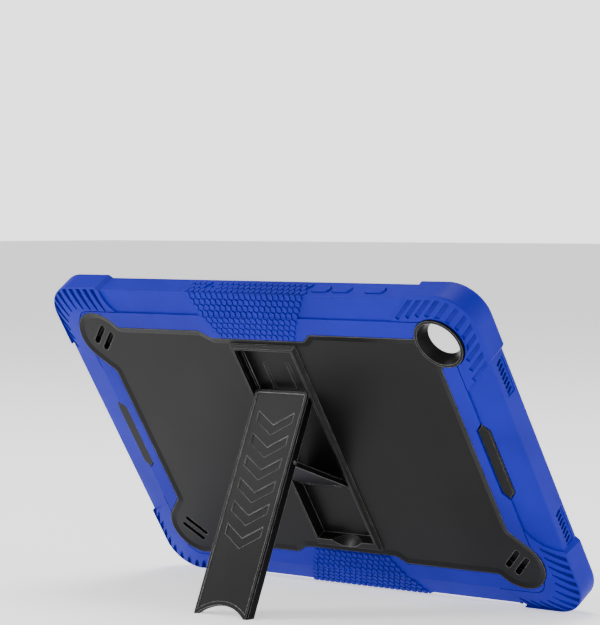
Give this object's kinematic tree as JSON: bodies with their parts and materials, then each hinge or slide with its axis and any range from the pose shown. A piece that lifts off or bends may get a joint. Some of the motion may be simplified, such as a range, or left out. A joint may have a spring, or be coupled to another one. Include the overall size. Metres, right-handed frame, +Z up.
{
  "type": "rugged tablet case with kickstand",
  "caption": "Two-layer rugged tablet case: soft bumper with flared corners over a hard shell, clip-in screen frame, camera window and a sliding kickstand, standing open and leaning back.",
  "frame": {"origin": "bottom centre of the bounding box, on the surface the case stands on", "axes": "+X along the long side, to the right as seen from behind; +Z up; the screen side faces +Y and up, the back with its stand faces -Y"},
  "size_m": [0.2618, 0.1234, 0.1556],
  "materials": {
    "silicone": "satin",
    "shell_plastic": "satin",
    "stand_plastic": "satin",
    "frame_plastic": "satin",
    "pin_steel": "brushed"
  },
  "bodies": {
    "case": {"rear_shell": "shell_plastic", "bumper": "silicone", "link_base_pin": "pin_steel"},
    "screen_frame": {"front_frame": "frame_plastic"},
    "stand_link": {"kickstand_link": "stand_plastic"},
    "stand_leg": {"kickstand_leg": "stand_plastic", "link_leg_pin": "pin_steel", "leg_slide_axle": "pin_steel"},
    "power_key": {"power_button": "silicone"},
    "volume_up_key": {"volume_up_button": "silicone"},
    "volume_down_key": {"volume_down_button": "silicone"},
    "port_flap": {"usb_port_flap": "silicone"}
  },
  "joints": [
    {"name": "stand_link_fold", "type": "hinge", "parent": "case", "child": "stand_link", "pos_m": [0, 0.01486, 0.05555], "axis": [1, 0, 0], "range_deg": [-38.47, 0]},
    {"name": "stand_leg_fold", "type": "hinge", "parent": "stand_link", "child": "stand_leg", "pos_m": [0, -0.02797, 0.06963], "axis": [1, 0, 0], "range_deg": [0, 95.1]},
    {"name": "frame_lift_off", "type": "slide", "parent": "case", "child": "screen_frame", "axis": [0, 0.8368, 0.5476], "range_m": [0, 0.03]},
    {"name": "power_press", "type": "slide", "parent": "case", "child": "power_key", "axis": [0, 0.5476, -0.8368], "range_m": [0, 0.0005], "stiffness_N_per_m": 1500, "springref_m": -0.0005},
    {"name": "volume_up_press", "type": "slide", "parent": "case", "child": "volume_up_key", "axis": [0, 0.5476, -0.8368], "range_m": [0, 0.0005], "stiffness_N_per_m": 1500, "springref_m": -0.0005},
    {"name": "volume_down_press", "type": "slide", "parent": "case", "child": "volume_down_key", "axis": [0, 0.5476, -0.8368], "range_m": [0, 0.0005], "stiffness_N_per_m": 1500, "springref_m": -0.0005},
    {"name": "port_flap_hinge", "type": "hinge", "parent": "case", "child": "port_flap", "pos_m": [-0.129, 0.00306, 0.07651], "axis": [0, -0.5476, 0.8368], "range_deg": [0, 100]}
  ],
  "couplings": [
    {"joint": "stand_leg_fold", "follows": "stand_link_fold", "ratio": -2.4712}
  ]
}
